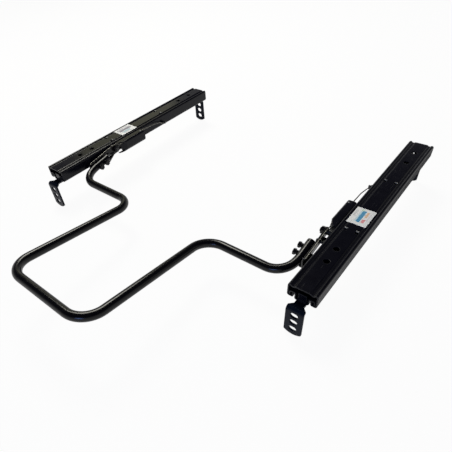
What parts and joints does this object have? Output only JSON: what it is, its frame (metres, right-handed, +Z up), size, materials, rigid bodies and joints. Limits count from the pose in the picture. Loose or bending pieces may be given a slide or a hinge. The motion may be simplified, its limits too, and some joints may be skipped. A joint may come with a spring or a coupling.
{
  "type": "seat slide rail",
  "caption": "Pair of black folded-steel seat slide rails on slotted hanging feet, joined by a bent round release bar that frees their toothed latches so the seat can slide.",
  "frame": {"origin": "on the ground under the middle of the set's bounding box", "axes": "+Y to the rear along the rails, +Z up, +X to the right"},
  "size_m": [0.519, 0.5802, 0.0815],
  "materials": {
    "rail_paint": "satin black paint",
    "bar_paint": "gloss black paint",
    "bare_steel": "bare",
    "blackened_steel": "oil blackened",
    "cage_nylon": "matte"
  },
  "bodies": {
    "floor_rails": {"lower_rail_left": "rail_paint", "lower_rail_right": "rail_paint", "front_foot_left": "rail_paint", "front_foot_right": "rail_paint", "rear_foot_left": "rail_paint", "rear_foot_right": "rail_paint", "foot_rivets_left": "rail_paint", "foot_rivets_right": "rail_paint"},
    "seat_rail_left": {"upper_rail_left": "rail_paint", "latch_cover_left": "rail_paint", "cover_rivets_left": "rail_paint", "latch_spring_left": "bare_steel", "bar_spring_left": "bare_steel", "pivot_bolt_left": "blackened_steel", "pivot_nut_left": "bar_paint", "stop_stud_left": "blackened_steel"},
    "ball_carriage_left": {"outer_ball_cage_left": "cage_nylon", "inner_ball_cage_left": "cage_nylon", "balls_left": "bare_steel"},
    "latch_left": {"latch_rod_left": "blackened_steel", "latch_plate_left": "rail_paint"},
    "front_roller_left": {"front_roller_left": "bare_steel"},
    "rear_roller_left": {"rear_roller_left": "bare_steel"},
    "seat_rail_right": {"upper_rail_right": "rail_paint", "latch_cover_right": "rail_paint", "cover_rivets_right": "rail_paint", "latch_spring_right": "bare_steel", "bar_spring_right": "bare_steel", "pivot_bolt_right": "blackened_steel", "pivot_nut_right": "bar_paint", "stop_stud_right": "blackened_steel"},
    "ball_carriage_right": {"outer_ball_cage_right": "cage_nylon", "inner_ball_cage_right": "cage_nylon", "balls_right": "bare_steel"},
    "latch_right": {"latch_rod_right": "blackened_steel", "latch_plate_right": "rail_paint"},
    "front_roller_right": {"front_roller_right": "bare_steel"},
    "rear_roller_right": {"rear_roller_right": "bare_steel"},
    "release_bar": {"release_bar": "bar_paint", "release_lever_left": "bar_paint", "release_lever_right": "bar_paint", "bar_bolts_left": "bar_paint", "bar_bolts_right": "bar_paint"}
  },
  "joints": [
    {"name": "seat_slide_left", "type": "slide", "parent": "floor_rails", "child": "seat_rail_left", "axis": [0, 1, 0], "range_m": [-0.08, 0.08]},
    {"name": "seat_slide_right", "type": "slide", "parent": "floor_rails", "child": "seat_rail_right", "axis": [0, 1, 0], "range_m": [-0.08, 0.08]},
    {"name": "ball_carriage_slide_left", "type": "slide", "parent": "floor_rails", "child": "ball_carriage_left", "axis": [0, 1, 0], "range_m": [-0.04, 0.04]},
    {"name": "front_roller_spin_left", "type": "hinge", "parent": "ball_carriage_left", "child": "front_roller_left", "pos_m": [-0.24, 0.07612, 0.0568], "axis": [1, 0, 0], "range_deg": [-270, 270]},
    {"name": "rear_roller_spin_left", "type": "hinge", "parent": "ball_carriage_left", "child": "rear_roller_left", "pos_m": [-0.24, 0.10812, 0.0568], "axis": [1, 0, 0], "range_deg": [-270, 270]},
    {"name": "latch_swing_left", "type": "hinge", "parent": "seat_rail_left", "child": "latch_left", "pos_m": [-0.2148, 0.05513, 0.0618], "axis": [0, -1, 0], "range_deg": [0, 17], "deforming": ["latch_spring_left"]},
    {"name": "ball_carriage_slide_right", "type": "slide", "parent": "floor_rails", "child": "ball_carriage_right", "axis": [0, 1, 0], "range_m": [-0.04, 0.04]},
    {"name": "front_roller_spin_right", "type": "hinge", "parent": "ball_carriage_right", "child": "front_roller_right", "pos_m": [0.24, 0.07612, 0.0568], "axis": [1, 0, 0], "range_deg": [-270, 270]},
    {"name": "rear_roller_spin_right", "type": "hinge", "parent": "ball_carriage_right", "child": "rear_roller_right", "pos_m": [0.24, 0.10812, 0.0568], "axis": [1, 0, 0], "range_deg": [-270, 270]},
    {"name": "latch_swing_right", "type": "hinge", "parent": "seat_rail_right", "child": "latch_right", "pos_m": [0.2148, 0.05513, 0.0618], "axis": [0, 1, 0], "range_deg": [0, 17], "deforming": ["latch_spring_right"]},
    {"name": "release_bar_lift", "type": "hinge", "parent": "seat_rail_left", "child": "release_bar", "pos_m": [0, 0.01312, 0.062], "axis": [-1, 0, 0], "range_deg": [0, 6], "stiffness_Nm_per_rad": 2, "springref_deg": -34.38, "deforming": ["bar_spring_left", "bar_spring_right"]}
  ],
  "couplings": [
    {"joint": "seat_slide_right", "follows": "seat_slide_left", "ratio": 1},
    {"joint": "ball_carriage_slide_left", "follows": "seat_slide_left", "ratio": 0.5},
    {"joint": "front_roller_spin_left", "follows": "seat_slide_left", "rad_per_m": -57.803},
    {"joint": "rear_roller_spin_left", "follows": "seat_slide_left", "rad_per_m": -57.803},
    {"joint": "latch_swing_left", "follows": "release_bar_lift", "ratio": 2.8},
    {"joint": "ball_carriage_slide_right", "follows": "seat_slide_left", "ratio": 0.5},
    {"joint": "front_roller_spin_right", "follows": "seat_slide_left", "rad_per_m": -57.803},
    {"joint": "rear_roller_spin_right", "follows": "seat_slide_left", "rad_per_m": -57.803},
    {"joint": "latch_swing_right", "follows": "release_bar_lift", "ratio": 2.8}
  ]
}
